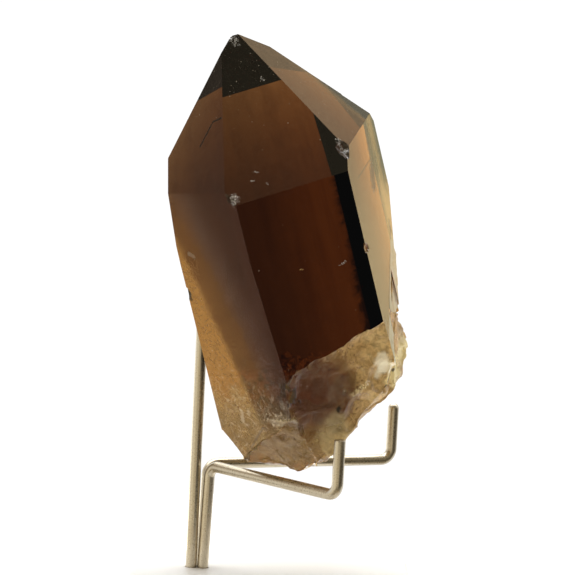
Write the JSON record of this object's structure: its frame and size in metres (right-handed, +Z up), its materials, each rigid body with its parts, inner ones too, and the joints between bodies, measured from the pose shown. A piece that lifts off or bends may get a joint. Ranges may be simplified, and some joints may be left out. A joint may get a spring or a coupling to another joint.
{
  "type": "smoky quartz crystal",
  "caption": "Dark brown clear smoky quartz crystal with a milky broken foot, leaning in a bent steel wire display stand on a pale rectangular base",
  "frame": {"origin": "centre of the underside of the base", "axes": "+Z up; -Y towards the side the crystal is looked at from; +X to the right seen from there, the way the wire arms reach"},
  "size_m": [0.056, 0.0567, 0.1161],
  "materials": {
    "quartz": "clear smoky brown, milky beige and rough at the broken foot",
    "steel": "satin stainless wire",
    "base": "frosted, near white"
  },
  "bodies": {
    "root": {"crystal": "quartz", "support_post": "steel", "near_arm": "steel", "far_arm": "steel", "base": "base"}
  },
  "joints": []
}
